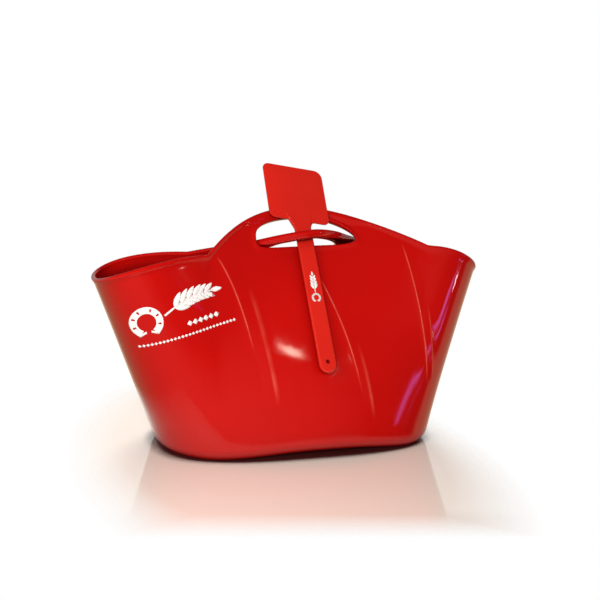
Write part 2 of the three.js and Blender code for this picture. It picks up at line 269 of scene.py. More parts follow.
def rim_height(x, front):
    """Height of the rim along the front (True) or the rear (False)."""

    def side(hump, sink_power):
        from_peak = x - hump["x"]
        reach = np.where(from_peak < 0, hump["left"], hump["right"])
        power = np.where(from_peak < 0, hump["power_left"], hump["power_right"])
        rise = 1 - np.clip(np.abs(from_peak) / reach, 0, 1) ** power
        foot_x = np.abs(hump["x"] + np.sign(from_peak) * reach)
        sink = np.clip((np.abs(x) - foot_x) / (RIM_HALF_LENGTH - foot_x), 0, 1)
        foot = np.where(x < 0, FOOT["left"], FOOT["right"])
        end = np.where(x < 0, END["left"], END["right"])
        return foot + (hump["top"] - foot) * rise + (end - foot) * sink**sink_power

    return np.where(front, side(HUMP["front"], SINK["front"]), side(HUMP["rear"], SINK["rear"]))


def rim_point(phi):
    c, s = np.cos(phi), np.sin(phi)
    front = s < 0
    x = RIM_HALF_LENGTH * c

    def across(plan):
        reach = plan["middle"] + (plan["ends"] - plan["middle"]) * np.abs(c) ** plan["power"]
        return signed_power(s, plan["bluntness"]) * reach

    pull = PULL["depth"] * np.exp(-((np.abs(x) / PULL["reach"]) ** PULL["power"]))
    y = np.where(front, across(RIM_PLAN["front"]), across(RIM_PLAN["rear"]) - pull)
    return np.stack([x, y, rim_height(x, front)], -1)


def edge_lift(phi):
    """How far the edge of the base stands clear of the ground: most at the front middle."""
    degrees = np.degrees(phi) % 360
    rise = smooth((degrees - BASE_LIFT["start"]) / (BASE_LIFT["full"] - BASE_LIFT["start"]))
    fall = smooth((degrees - BASE_LIFT["full"]) / (BASE_LIFT["end"] - BASE_LIFT["full"]))
    return BASE_LIFT["height"] * rise * (1 - fall)


def floor_height(phi, share):
    u = np.clip((share - BASE_LIFT["flat_share"]) / (1 - BASE_LIFT["flat_share"]), 0, 1)
    return edge_lift(phi) * u**2


def base_point(phi):
    """A blunt oval, skewed against the rim."""
    power = 2 / BASE["power"]
    x = BASE["x"] + BASE["half_length"] * signed_power(np.cos(phi), power)
    depth = np.where(np.sin(phi) < 0, BASE["front"], BASE["rear"])
    y = depth * signed_power(np.sin(phi), power) - BASE["skew"] * x
    return np.stack([x, y, edge_lift(phi)], -1)


def folded_point(base, rim, t):
    """Rear middle of the wall: it rises, leans in and ends nearly level at the pulled grip."""
    low = mix(base, rim, 1 / 3)
    low[..., 1] = base[..., 1] + FOLD["bow"]
    high = mix(base, rim, 2 / 3)
    high[..., 1] = rim[..., 1] + FOLD["lip"]
    high[..., 2] = rim[..., 2] + FOLD["droop"]
    u = 1 - t
    return u**3 * base + 3 * u * u * t * low + 3 * u * t * t * high + t**3 * rim


def wall_point(phi, t):
    """Point of the plain outer wall at an angle and at a share of the height, 0 base to 1 rim."""
    phi, t = np.broadcast_arrays(np.asarray(phi, float), np.asarray(t, float))
    base, rim = base_point(phi), rim_point(phi)
    s = np.sin(phi)
    out = t ** mix(BULGE["ends"], BULGE["sides"], s * s)
    point = mix(base, rim, out[..., None])
    point[..., 2] = mix(base[..., 2], rim[..., 2], t)
    fold = np.exp(-((np.abs(rim[..., 0] - FOLD["x"]) / FOLD["reach"]) ** FOLD["power"]))
    fold = np.where(s > 0, fold, 0)[..., None]
    point = mix(point, folded_point(base, rim, t[..., None]), fold)
    above = point[..., 2] - base[..., 2]
    up = np.clip(above / BASE_CORNER, 0, 1)
    inset = BASE_CORNER * (1 - np.sqrt(1 - (1 - up) ** 2))
    lean = FOOT_BAND["lean"] * base[..., 2] / BASE_LIFT["height"]
    inset = inset + lean * np.clip(FOOT_BAND["height"] - above, 0, None)
    reach = np.hypot(base[..., 0], base[..., 1])
    point[..., :2] -= (inset / reach)[..., None] * base[..., :2]
    return point


def slopes(phi, t):
    """Derivatives of wall_point by angle and by height."""
    step = 1e-4
    low, high = np.clip(t - step, 0, 1), np.clip(t + step, 0, 1)
    by_angle = (wall_point(phi + step, t) - wall_point(phi - step, t)) / (2 * step)
    by_height = (wall_point(phi, high) - wall_point(phi, low)) / (high - low)[..., None]
    return by_angle, by_height


def wall_normal(phi, t):
    normal = np.cross(*slopes(phi, t))
    return normal / np.linalg.norm(normal, axis=-1, keepdims=True)


def height_at_depth(phi, depth):
    """Share of the height at a distance down the wall from the rim."""
    phi, depth = np.broadcast_arrays(np.asarray(phi, float), np.asarray(depth, float))
    shares = np.linspace(1, 0, HEIGHT_SAMPLES)
    points = wall_point(phi[..., None], shares)
    lengths = np.linalg.norm(np.diff(points, axis=-2), axis=-1)
    gone = np.concatenate([np.zeros(phi.shape + (1,)), np.cumsum(lengths, -1)], -1)
    index = np.clip((gone < depth[..., None]).sum(-1) - 1, 0, len(lengths.T) - 1)
    before = np.take_along_axis(gone, index[..., None], -1)[..., 0]
    step = np.take_along_axis(lengths, index[..., None], -1)[..., 0]
    return shares[index] - (depth - before) / step / (len(shares) - 1)


# ---------- creases ----------


def all_creases():
    """The three creases of the front, and the same three turned round to the rear."""
    rear = [dict(crease, angle=crease["angle"] - 180) for crease in CREASES]
    return rear + CREASES


def twist(phi, t):
    """Angle that a mesh column has turned by when it has come down to height t."""
    knots = all_creases()
    angles = np.radians([crease["angle"] for crease in knots])

    def between(key):
        return np.interp(phi, angles, [crease[key] for crease in knots], period=2 * math.pi)

    down = np.clip(between("top") - t, 0, None)
    return np.radians(between("turn") * down - between("slow") * down**2)


def crease_lines(crease, phi, t, scale):
    """Millimetres right of a crease's two lines, and how strongly each shows."""
    down = np.clip(crease["top"] - t, 0, None)
    line = np.radians(crease["angle"] + crease["turn"] * down - crease["slow"] * down**2)
    away = (phi - line + math.pi) % (2 * math.pi) - math.pi
    first = smooth((crease["top"] - t) / 0.06) * smooth((t - crease["first_end"]) / 0.16)
    second = smooth((down - 0.24) / 0.12) * smooth((t - crease["bottom"]) / 0.12)
    return away * scale, (away - math.radians(crease["gap"])) * scale, first, second


def crease_height(phi, t):
    """How far the creases lift the surface, and how pale their lines are made: worn pale, with a painted
    highlight along them.
    """
    by_angle, _ = slopes(phi, t)
    scale = np.linalg.norm(by_angle, axis=-1)
    lift, wear = np.zeros_like(scale), np.zeros_like(scale)
    for crease in all_creases():
        right, beyond, first, second = crease_lines(crease, phi, t, scale)
        across = np.clip(right / (right - beyond), 0, 1)
        inside = mix(first, second, across)
        before = first * np.exp(np.minimum(right, 0) / CREASE_RAMP)
        after = second * np.exp(-np.maximum(beyond, 0) / CREASE_RAMP)
        strip = np.where(right < 0, before, np.where(beyond > 0, after, inside))
        ridges = [
            (first, np.exp(-np.abs(right / RIDGE["width"]) ** 1.5)),
            (second, np.exp(-np.abs(beyond / RIDGE["width"]) ** 1.5) * 0.6),
        ]
        lift += CREASE_HEIGHT * strip
        for strength, shape in ridges:
            lift += RIDGE["height"] * strength * shape
            # the ridge lines are worn pale, with a painted highlight along them
            wear += strength * shape
    return lift, wear


def creased_wall(phi, t):
    """Points of the outer wall with its creases, and how pale each point is made: wear with a painted
    highlight along the crease lines.
    """
    lift, wear = crease_height(phi, t)
    return wall_point(phi, t) + wall_normal(phi, t) * lift[..., None], wear


# ---------- meshes ----------


def new_object(name, points, faces, smooth_shading=True):
    mesh = bpy.data.meshes.new(name)
    mesh.from_pydata((np.asarray(points) * MM).tolist(), [], [tuple(map(int, f)) for f in faces])
    mesh.validate()
    mesh.update()
    mesh.polygons.foreach_set("use_smooth", [smooth_shading] * len(mesh.polygons))
    obj = bpy.data.objects.new(name, mesh)
    bpy.context.scene.collection.objects.link(obj)
    return obj


def set_attribute(obj, name, values):
    """Gives each point of a mesh a number that its material can read."""
    obj.data.attributes.new(name, "FLOAT", "POINT").data.foreach_set("value", values)


class Sheet:
    """Points of a surface with half the wall's thickness at each, 0 on a free edge."""

    def __init__(self):
        self.points = []
        self.half = []
        self.wear = []
        self.depth = []
        self.faces = []
        self.count = 0

    def add(self, points, half, wear=0.0, depth=FAR):
        points = np.reshape(points, (-1, 3))
        self.points.append(points)
        self.half.append(np.broadcast_to(half, len(points)))
        self.wear.append(np.broadcast_to(wear, len(points)))
        self.depth.append(np.broadcast_to(depth, len(points)))
        ids = np.arange(self.count, self.count + len(points))
        self.count += len(points)
        return ids

    def join(self, lower, upper, keep=None):
        """Quads between two rows of points that close on themselves."""
        quads = np.stack([lower, np.roll(lower, -1), np.roll(upper, -1), upper], -1)
        self.faces.append(quads if keep is None else quads[keep])

    def solid(self):
        """Points and faces of both skins, which share every free edge."""
        points = np.concatenate(self.points)
        half = np.concatenate(self.half)
        quads = np.concatenate(self.faces)
        a, b, c, d = (points[quads[:, corner]] for corner in range(4))
        across = np.cross(c - a, d - b)
        normals = np.zeros_like(points)
        for corner in range(4):
            np.add.at(normals, quads[:, corner], across)
        normals /= np.linalg.norm(normals, axis=1, keepdims=True)
        outer = points + normals * (half - WALL / 2)[:, None]
        inner = points - normals * (half + WALL / 2)[:, None]
        inside = np.where(half > 0, np.arange(self.count) + self.count, np.arange(self.count))
        return np.concatenate([outer, inner]), np.concatenate([quads, inside[quads[:, ::-1]]])


def bead_half(distance, half, fade):
    return mix(half, WALL / 2, smooth((distance - half) / fade))


def edge_rounding(distance, radius):
    u = 1 - np.clip(distance / radius, 0, 1)
    return np.sqrt(1 - u * u)


def grip_share(phi):
    x = RIM_HALF_LENGTH * np.cos(phi) - HUMP["front"]["x"] / 2
    return 1 - smooth((np.abs(x) - GRIP["flat"]) / (GRIP["end"] - GRIP["flat"]))


def wall_half(phi, rim_distance, hole_distance=FAR):
    """Half the wall's thickness: beads along rim and hand holes, a full section in the grips."""
    grip = grip_share(phi)
    full, fade = mix(RIM_BEAD["half"], GRIP["half"], grip), mix(RIM_BEAD["fade"], GRIP["fade"], grip)
    rim = bead_half(rim_distance, full, fade)
    upper = grip * (1 - smooth((rim_distance - 16) / 12))
    hole = bead_half(hole_distance, mix(HOLE_BEAD["half"], GRIP["half"], upper), HOLE_BEAD["fade"])
    half = np.maximum(rim, hole)
    return half * np.minimum(edge_rounding(rim_distance, half), edge_rounding(hole_distance, half))


def column_angles():
    """Angles of the mesh columns at the rim, and the index where each hand-hole patch starts."""
    shares = np.arange(PATCH_COLUMNS) / PATCH_COLUMNS
    rear = mix(*PATCH["rear"], shares)
    front = mix(*PATCH["front"], shares)

    def end(start, stop):
        u = signed_power(np.linspace(-1, 1, END_COLUMNS, endpoint=False), END_CROWDING)
        plain = mix(start, stop, (u + 1) / 2)
        lines = [crease["angle"] + turn for crease in all_creases() for turn in (0, 360)]
        lines = [line for line in lines if start + 4 < line < stop - 6]
        low, high = CREASE_CLEARANCE
        clear = [angle for angle in plain if not any(low < angle - line < high for line in lines)]
        clusters = [line + offset for line in lines for offset in CREASE_CLUSTER]
        return np.sort(clear + clusters)

    left = end(PATCH["rear"][1], PATCH["front"][0])
    right = end(PATCH["front"][1], PATCH["rear"][0] + 360)
    angles = np.concatenate([rear, left, front, right])
    return np.radians(angles), 0, len(rear) + len(left)


def crowd_patch(angles, start, line):
    """Draws the patch columns nearest a crease into a cluster around it, keeping their order."""
    inside = slice(start, start + PATCH_COLUMNS)
    offset = np.degrees(angles[inside]) - line
    reach = 9
    near = np.abs(offset) < reach
    drawn = signed_power(offset[near] / reach, 1.9) * reach
    moved = offset.copy()
    moved[near] = drawn
    moved[np.argmin(np.abs(moved))] = 0
    angles[inside] = np.radians(moved + line)


def hole_outline(hole, u, v, front):
    """Angle and depth of a hand hole's edge in the direction (u, v) from its middle."""
    side = u if front else -u
    upper = np.where(side < 0, hole["up_left"], hole["up_right"])
    lower = np.where(side < 0, hole["down_left"], hole["down_right"])
    power = np.where(v > 0, upper, lower)
    scale = (np.abs(u) ** power + np.abs(v) ** power) ** (-1 / power)
    x = hole["x"] + hole["half_width"] * scale * side
    depth = hole["depth"] - np.where(v > 0, hole["up"], hole["down"]) * scale * v
    angle = np.arccos(x / RIM_HALF_LENGTH)
    return (2 * math.pi - angle if front else angle), depth


def patch_border(start):
    """Columns, rows and directions of a patch's border, anticlockwise seen from outside."""
    right = start + PATCH_COLUMNS
    columns = np.concatenate([
        np.arange(start, right), np.full(PATCH_ROWS, right),
        np.arange(right, start, -1), np.full(PATCH_ROWS, start),
    ])
    rows = np.concatenate([
        np.zeros(PATCH_COLUMNS, int), np.arange(PATCH_ROWS),
        np.full(PATCH_COLUMNS, PATCH_ROWS), np.arange(PATCH_ROWS, 0, -1),
    ])
    return columns, rows


def add_hand_hole(sheet, angles, depths, grid, start, front):
    """Rings of quads from the edge of a hand hole out to the border of its patch."""
    hole = HAND_HOLE["front" if front else "rear"]
    columns, rows = patch_border(start)
    v = 2 * rows / PATCH_ROWS - 1
    u = 2 * (columns - start) / PATCH_COLUMNS - 1
    edge_phi, edge_depth = hole_outline(hole, u, v, front)
    border = sheet_border(angles, depths, columns, rows)
    edge_share = height_at_depth(edge_phi, edge_depth)
    apart = wall_point(edge_phi, edge_share) - wall_point(border[0], border[2])
    length = np.linalg.norm(apart, axis=-1)
    rings = []
    near = [np.full_like(length, distance) for distance in HOLE_RINGS]
    last = HOLE_RINGS[-1]
    shares = np.arange(1, HOLE_FAR_RINGS + 1) / (HOLE_FAR_RINGS + 1)
    far = [last + (length - last) * share**HOLE_RING_GROWTH for share in shares]
    for distance in near + far:
        share = distance / length
        phi = mix(edge_phi, border[0], share)
        depth = mix(edge_depth, border[1], share)
        points, wear = creased_wall(phi, height_at_depth(phi, depth))
        rings.append(sheet.add(points, wall_half(phi, depth, distance), wear, depth))
    rings.append(grid[rows, columns % len(angles)])
    for inner, outer in zip(rings, rings[1:]):
        quads = np.stack([inner, outer, np.roll(outer, -1), np.roll(inner, -1)], -1)
        sheet.faces.append(quads)


def sheet_border(angles, depths, columns, rows):
    """Angle, depth and height share of the grid points on a patch's border."""
    phi = angles[columns % len(angles)]
    depth = depths[rows]
    t = height_at_depth(phi, depth)
    return phi + twist(phi, t), depth, t


def make_tub():
    sheet = Sheet()
    angles, rear_start, front_start = column_angles()
    crowd_patch(angles, rear_start, CREASES[1]["angle"] - 180)
    crowd_patch(angles, front_start, CREASES[1]["angle"])

    edge = wall_point(angles, 0.0)
    rows = []
    for share in FLOOR_RINGS:
        ring = edge * share
        ring[:, 2] = floor_height(angles, share)
        rows.append(sheet.add(ring, WALL / 2))

    def add_row(phi, t, half, depth=FAR):
        points, wear = creased_wall(phi + twist(phi, t), t)
        rows.append(sheet.add(points, half, wear, depth))

    height = rim_point(angles)[:, 2] - base_point(angles)[:, 2]
    corner = lambda beta: BASE_CORNER * (1 - math.cos(math.radians(beta))) / height
    for beta in CORNER_ROWS:
        add_row(angles, corner(beta), WALL / 2)
    patch_foot = height_at_depth(angles, PATCH_BOTTOM)
    for k in range(1, MIDDLE_ROWS):
        add_row(angles, mix(corner(90), patch_foot, k / MIDDLE_ROWS), WALL / 2)
    depths = np.linspace(PATCH_BOTTOM, PATCH_TOP, PATCH_ROWS + 1)
    grip_start = len(rows)
    for depth in [*depths, *RIM_ROWS]:
        add_row(angles, height_at_depth(angles, depth), wall_half(angles, depth), depth)
    grid = np.array(rows[grip_start:grip_start + PATCH_ROWS + 1])

    column = np.arange(len(angles))
    in_patch = lambda start: (column >= start) & (column < start + PATCH_COLUMNS)
    solid_columns = ~(in_patch(rear_start) | in_patch(front_start))
    for j, (lower, upper) in enumerate(zip(rows, rows[1:])):
        level = j - grip_start
        sheet.join(lower, upper, solid_columns if 0 <= level < PATCH_ROWS else None)
    add_hand_hole(sheet, angles, depths, grid, rear_start, False)
    add_hand_hole(sheet, angles, depths, grid, front_start, True)

    points, faces = sheet.solid()
    faces = [tuple(face) for face in faces]
    faces.append(tuple(rows[0][::-1]))
    faces.append(tuple(rows[0] + sheet.count))
    tub = new_object("tub_moulding", points, faces)
    none = np.zeros(sheet.count)
    painted_inside_shade = smooth(np.concatenate(sheet.depth) / INSIDE_PAINTED_SHADE["fade"])
    # wear: crease lines worn pale, with a painted highlight along them
    set_attribute(tub, "wear", np.concatenate([*sheet.wear, none]))
    # inside: painted shade on the inner skin, darker below the rim
    set_attribute(tub, "inside", np.concatenate([none, painted_inside_shade]))
    return tub


# ---------- the spatula, drawn in its own plane: x across, s along, n out of its back ----------


def spatula_matrix():
    """From the spatula's plane to the frame, in millimetres."""
    return Matrix.Translation((0, FOOT_Y, 0)) @ Matrix.Rotation(math.radians(90 - LEAN), 4, "X")


def on_handle(points):
    """Points given along the handle's own axis, moved to its tilt on the plane."""
    turn = math.radians(TILT)
    x, s = np.asarray(points, float).T
    s = s - HANDLE["tip"]
    across = HANDLE["x"] + x * math.cos(turn) - s * math.sin(turn)
    along = HANDLE["tip"] + x * math.sin(turn) + s * math.cos(turn)
    return np.stack([across, along], -1)


def arc(centre, radius, start, stop, count):
    angles = np.radians(np.linspace(start, stop, count))
    return np.stack([centre[0] + radius * np.cos(angles), centre[1] + radius * np.sin(angles)], -1)


def rounded_polygon(corners, radii, steps=10):
    """An outline with its corners rounded, anticlockwise; a radius of 0 leaves a corner as it is."""
    outline = []
    count = len(corners)
    for i, (corner, radius) in enumerate(zip(corners, radii)):
        here = Vector(corner)
        if radius == 0:
            outline.append(here)
            continue
        before = (Vector(corners[i - 1]) - here).normalized()
        after = (Vector(corners[(i + 1) % count]) - here).normalized()
        half = before.angle(after) / 2
        away = radius / math.tan(half)
        enter, leave = here + before * away, here + after * away
        centre = here + (before + after).normalized() * (radius / math.sin(half))
        start = math.atan2(*(enter - centre).yx)
        stop = math.atan2(*(leave - centre).yx)
        turn = (stop - start + math.pi) % (2 * math.pi) - math.pi
        for k in range(steps + 1):
            angle = start + turn * k / steps
            outline.append(centre + Vector((math.cos(angle), math.sin(angle))) * radius)
    return np.array(outline)


def densify(outline, spacing):
    """The same closed outline with points no further apart than spacing."""
    points = []
    for a, b in zip(outline, np.roll(outline, -1, axis=0)):
        count = max(1, int(np.linalg.norm(b - a) / spacing))
        points += [mix(a, b, k / count) for k in range(count)]
    return np.array(points)


def outward(outline):
    """Unit normals of a closed anticlockwise outline."""
    along = np.roll(outline, -1, axis=0) - np.roll(outline, 1, axis=0)
    normal = np.stack([along[:, 1], -along[:, 0]], -1)
    return normal / np.linalg.norm(normal, axis=1, keepdims=True)


def slab(loops, back, front, radius, steps=5):
    """A flat moulding from an outline and its holes, every edge rounded. back and front are
    functions of (x, s) that give its two faces."""
    bm = bmesh.new()
    quarter = np.linspace(0, math.pi / 2, steps + 1)
    caps = {"back": [], "front": []}
    for number, loop in enumerate(loops):
        normal = outward(loop)
        loop_radius = radius if number == 0 else radius * 0.4
        profile = [("back", 1 - math.sin(a), 1 - math.cos(a)) for a in quarter]
        profile += [("front", 1 - math.cos(a), 1 - math.sin(a)) for a in quarter]
        rings = []
        depth = np.minimum(loop_radius, 0.45 * (front(loop) - back(loop)))
        for face, inset, rise in profile:
            flat = loop - normal * (inset * loop_radius)
            level = back(flat) + rise * depth if face == "back" else front(flat) - rise * depth
            rings.append([bm.verts.new((x, s, n)) for (x, s), n in zip(flat, level)])
        for low, high in zip(rings, rings[1:]):
            for i in range(len(loop)):
                j = (i + 1) % len(loop)
                bm.faces.new((low[i], low[j], high[j], high[i]))
        for name, ring in (("back", rings[0]), ("front", rings[-1])):
            caps[name] += [bm.edges.get((ring[i], ring[(i + 1) % len(ring)])) for i in range(len(ring))]
    for edges in caps.values():
        bmesh.ops.triangle_fill(bm, use_beauty=True, use_dissolve=False, edges=edges)
    bmesh.ops.recalc_face_normals(bm, faces=bm.faces)
    return bm


def bmesh_object(name, bm, matrix):
    """A new object from a bmesh drawn in millimetres, placed by matrix."""
    bm.transform(Matrix.Scale(MM, 4) @ matrix)
    mesh = bpy.data.meshes.new(name)
    bm.to_mesh(mesh)
    bm.free()
    mesh.polygons.foreach_set("use_smooth", [True] * len(mesh.polygons))
    obj = bpy.data.objects.new(name, mesh)
    bpy.context.scene.collection.objects.link(obj)
    return obj


def apply_modifiers(obj):
    depsgraph = bpy.context.evaluated_depsgraph_get()
    mesh = bpy.data.meshes.new_from_object(obj.evaluated_get(depsgraph))
    obj.modifiers.clear()
    obj.data = mesh


def handle_outline():
    """The strip with its round tip, flaring into a V where it dies into the blade."""
    half = HANDLE["width"] / 2
    tip = arc((0, HANDLE["tip"] + half), half, 180, 360, 28)
    neck = [(half, NECK["start"]), NECK["right"], NECK["left"], (-half, NECK["start"])]
    radii = [0] * len(tip) + [NECK["fillet"], NECK["point"], NECK["point"], NECK["fillet"]]
    return on_handle(densify(rounded_polygon([*tip, *neck], radii), 1.5))


def blade_outline():
    """The blade, with a root that joins the handle's sides through fillets."""
    half = HANDLE["width"] / 2
    slope = (BLADE["bottom_right"] - BLADE["bottom_left"]) / (BLADE["right"] - BLADE["left"])
    edge = lambda x: BLADE["bottom_left"] + slope * (x - BLADE["left"])
    (x_left, root), (x_right, _) = on_handle([[-half, NECK["start"]], [half, NECK["start"]]])
    corners = [
        (BLADE["left"], BLADE["bottom_left"]),
        (x_left - 4, edge(x_left - 4)), (x_left, root), (x_right, root),
        (x_right + 2.5, edge(x_right + 2.5)), (BLADE["right"], BLADE["bottom_right"]),
        (BLADE["right"], BLADE["top_right"]), (BLADE["left"], BLADE["top_left"]),
    ]
    radius, fillet = BLADE["radius"], NECK["fillet"]
    radii = [radius, fillet, 2, 2, fillet * 0.6, radius * 0.7, radius * 1.2, radius * 0.7]
    return densify(rounded_polygon(corners, radii), 2)


def make_spatula():
    thick = HANDLE["thick"]
    blade_back = (thick - BLADE["thick"]) / 2
    blade_front = blade_back + BLADE["thick"]
    hole = on_handle(arc((0, HANDLE["tip"] + HANDLE["hole_up"]), HANDLE["hang_hole"] / 2, 360, 0, 25)[:-1])
    (x_left, s_left), (x_right, s_right) = on_handle([NECK["left"], NECK["right"]])
    slope = (s_right - s_left) / (x_right - x_left)
    below_top = lambda flat: s_left + slope * (flat[:, 0] - x_left) - flat[:, 1]
    taper = lambda flat: smooth(1 - below_top(flat) / NECK["taper"])
    handle_bm = slab(
        [handle_outline(), hole],
        back=lambda flat: mix(0, blade_back + 0.15, taper(flat)),
        front=lambda flat: mix(thick, blade_front - 0.05, taper(flat)),
        radius=1.5, steps=1,
    )
    blade_bm = slab(
        [blade_outline()],
        back=lambda flat: np.full(len(flat), blade_back),
        front=lambda flat: np.full(len(flat), blade_front),
        radius=0.9,
    )
    plane = spatula_matrix()
    spatula = bmesh_object("spatula_moulding", handle_bm, plane)
    cutter = bmesh_object("spatula_blade", blade_bm, plane)
    union = spatula.modifiers.new("union", "BOOLEAN")
    union.operation, union.solver, union.object = "UNION", "EXACT", cutter
    apply_modifiers(spatula)
    bpy.data.objects.remove(cutter)
    spatula.data.polygons.foreach_set("use_smooth", [True] * len(spatula.data.polygons))
    spatula.data.set_sharp_from_angle(angle=math.radians(32))
    return spatula


# ---------- the printed drawing: a horseshoe, an ear of oats and plain bands ----------


def ribbon(points, widths):
    """A strip along a line, three quads wide, as points and faces."""
    points, widths = np.asarray(points, float), np.asarray(widths, float)
    along = np.gradient(points, axis=0)
    across = np.stack([-along[:, 1], along[:, 0]], -1)
    across /= np.linalg.norm(across, axis=1, keepdims=True)
    sides = [points + across * (widths / 2)[:, None] * side for side in (-1, -0.33, 0.33, 1)]
    verts = np.concatenate(sides)
    count = len(points)
    faces = [
        (row * count + i, row * count + i + 1, (row + 1) * count + i + 1, (row + 1) * count + i)
        for row in range(3) for i in range(count - 1)
    ]
    return verts, faces


def leaf(root, angle, length, width):
    """A pointed grain, as a ribbon that swells in the middle."""
    share = np.linspace(0, 1, 9)
    direction = np.array([math.cos(math.radians(angle)), math.sin(math.radians(angle))])
    points = np.asarray(root) + share[:, None] * length * direction
    return ribbon(points, 0.25 + width * np.sin(math.pi * share**0.85) ** 0.8)


def horseshoe(centre, radius, band):
    """An open shoe with square heels and nail holes, its opening downwards."""
    heels = (-60, 240)
    between_nails = ((-60, -22), (-14, 20), (28, 58), (66, 114), (122, 152), (160, 194), (202, 240))
    parts = [ribbon(arc(centre, radius, *span, 9), [band] * 9) for span in between_nails]
    for rim in (radius - band * 0.36, radius + band * 0.36):
        parts.append(ribbon(arc(centre, rim, *heels, 61), [band * 0.28] * 61))
    for side in heels:
        heel = arc(centre, radius, side, side, 1)[0]
        inward = (np.array(centre) - (0, radius * 2) - heel) * 0.12
        parts.append(ribbon([heel - inward * 0.2, heel + inward], [band * 1.25, band * 1.1]))
    return parts


def oat_ear(root, tip, lift, grains, length, width):
    """A curved stem with pairs of grains along it and one at its tip."""
    root, tip = np.array(root, float), np.array(tip, float)
    share = np.linspace(0, 1, 40)
    stem = mix(root, tip, share[:, None])
    stem[:, 1] += lift * np.sin(math.pi * share)
    parts = [ribbon(stem, np.linspace(0.30, 0.16, 40) * width)]
    arch = lift * math.pi / np.linalg.norm(tip - root)
    lean = math.degrees(math.atan2(*(tip - root)[::-1]))
    for k in range(grains):
        place = 0.22 + 0.74 * k / grains
        at = stem[int(place * 39)]
        bend = lean + math.degrees(math.atan(arch * math.cos(math.pi * place)))
        size = 1 - 0.35 * place
        for side in (1, -1):
            parts.append(leaf(at, bend + side * 34, length * size, width * size))
    droop = math.degrees(math.atan(lift * 0.05))
    parts.append(leaf(stem[-3], lean - droop, length * 0.7, width * 0.7))
    return parts


def lozenges(start, stop, count, size):
    """A row of small lozenges."""
    centres = np.linspace(start, stop, count)
    half = np.array((size / 2, 0))
    return [ribbon([centre - half, centre, centre + half], [0.2, size, 0.2]) for centre in centres]


def place_on_wall(flat):
    """Angle and height share of the front wall at each (x, z)."""
    x, z = flat.T
    t = z / 225
    phi = 2 * math.pi - np.arccos(np.clip(x / 215, -0.99, 0.99))
    for _ in range(25):
        here = wall_point(phi, t)
        by_angle, by_height = slopes(phi, t)
        a, b, c, d = by_angle[:, 0], by_height[:, 0], by_angle[:, 2], by_height[:, 2]
        miss_x, miss_z = here[:, 0] - x, here[:, 2] - z
        det = a * d - b * c
        phi = phi - np.clip((d * miss_x - b * miss_z) / det, -0.1, 0.1)
        t = t - np.clip((a * miss_z - c * miss_x) / det, -0.1, 0.1)
    return phi, t


def join_parts(parts):
    verts, faces, count = [], [], 0
    for points, quads in parts:
        verts.append(points)
        faces += [tuple(count + i for i in quad) for quad in quads]
        count += len(points)
    return np.concatenate(verts), faces


def print_film(name, points, faces):
    """A film of ink with a little thickness."""
    film = new_object(name, points, faces)
    solidify = film.modifiers.new("ink", "SOLIDIFY")
    solidify.thickness, solidify.offset = INK["thick"] * MM, 0
    apply_modifiers(film)
    return film


def make_tub_print(name, parts):
    verts, faces = join_parts(parts)
    turn = math.radians(PRINT_SLOPE)
    u, v = verts.T
    flat = np.stack([
        PRINT_ORIGIN[0] + u * math.cos(turn) - v * math.sin(turn),
        PRINT_ORIGIN[1] + u * math.sin(turn) + v * math.cos(turn),
    ], -1)
    phi, t = place_on_wall(flat)
    points, _ = creased_wall(phi, t)
    return print_film(name, points + wall_normal(phi, t) * INK["lift_tub"], faces)


def make_spatula_print():
    shoe = horseshoe(centre=(0, 83), radius=4.2, band=2.3)
    ear = oat_ear(root=(0, 89), tip=(0, 109), lift=0.01, grains=4, length=7.5, width=2.9)
    verts, faces = join_parts(shoe + ear)
    flat = on_handle(verts + (0, HANDLE["tip"]))
    points = np.column_stack([flat, np.full(len(flat), HANDLE["thick"] + INK["lift_handle"])])
    matrix = np.array(spatula_matrix())
    return print_film("spatula_print", points @ matrix[:3, :3].T + matrix[:3, 3], faces)


# ---------- materials, as node trees ----------


class Nodes:
    """A short way to build a node tree."""

    def __init__(self, owner):
        owner.use_nodes = True
        self.tree = owner.node_tree
        self.shader = self.tree.nodes.get("Principled BSDF")

    def add(self, kind, inputs=None, **settings):
        node = self.tree.nodes.new(kind)
        for key, value in settings.items():
            setattr(node, key, value)
        for key, value in (inputs or {}).items():
            self.feed(node.inputs[key], value)
        return node

    def feed(self, socket, value):
        if isinstance(value, bpy.types.NodeSocket):
            self.tree.links.new(value, socket)
        else:
            socket.default_value = value

    def noise(self, scale, detail=3.0, roughness=0.5, stretch=(1, 1, 1)):
        place = self.add("ShaderNodeTexCoord").outputs["Object"]
        mapping = self.add("ShaderNodeMapping", {"Vector": place, "Scale": stretch})
        inputs = {
            "Vector": mapping.outputs[0], "Scale": scale, "Detail": detail, "Roughness": roughness,
        }
        return self.add("ShaderNodeTexNoise", inputs).outputs["Fac"]

    def ramp(self, value, low, high, start, stop):
        inputs = {
            "Value": value, "From Min": low, "From Max": high, "To Min": start, "To Max": stop,
        }
        return self.add("ShaderNodeMapRange", inputs).outputs[0]

    def math(self, operation, first, second):
        return self.add("ShaderNodeMath", {0: first, 1: second}, operation=operation).outputs[0]

    def vector(self, operation, first, second=(0, 0, 0)):
        outputs = self.add("ShaderNodeVectorMath", {0: first, 1: second}, operation=operation).outputs
        return outputs["Value" if operation in ("LENGTH", "DOT_PRODUCT") else "Vector"]

    def blend(self, share, first, second):
        node = self.add("ShaderNodeMix", data_type="RGBA")
        for index, value in ((0, share), (6, first), (7, second)):
            self.feed(node.inputs[index], value)
        return node.outputs[2]

    def bump(self, height, strength, distance, normal=None):
        inputs = {"Height": height, "Strength": strength, "Distance": distance}
        node = self.add("ShaderNodeBump", inputs)
        if normal is not None:
            self.feed(node.inputs["Normal"], normal)
        return node.outputs[0]


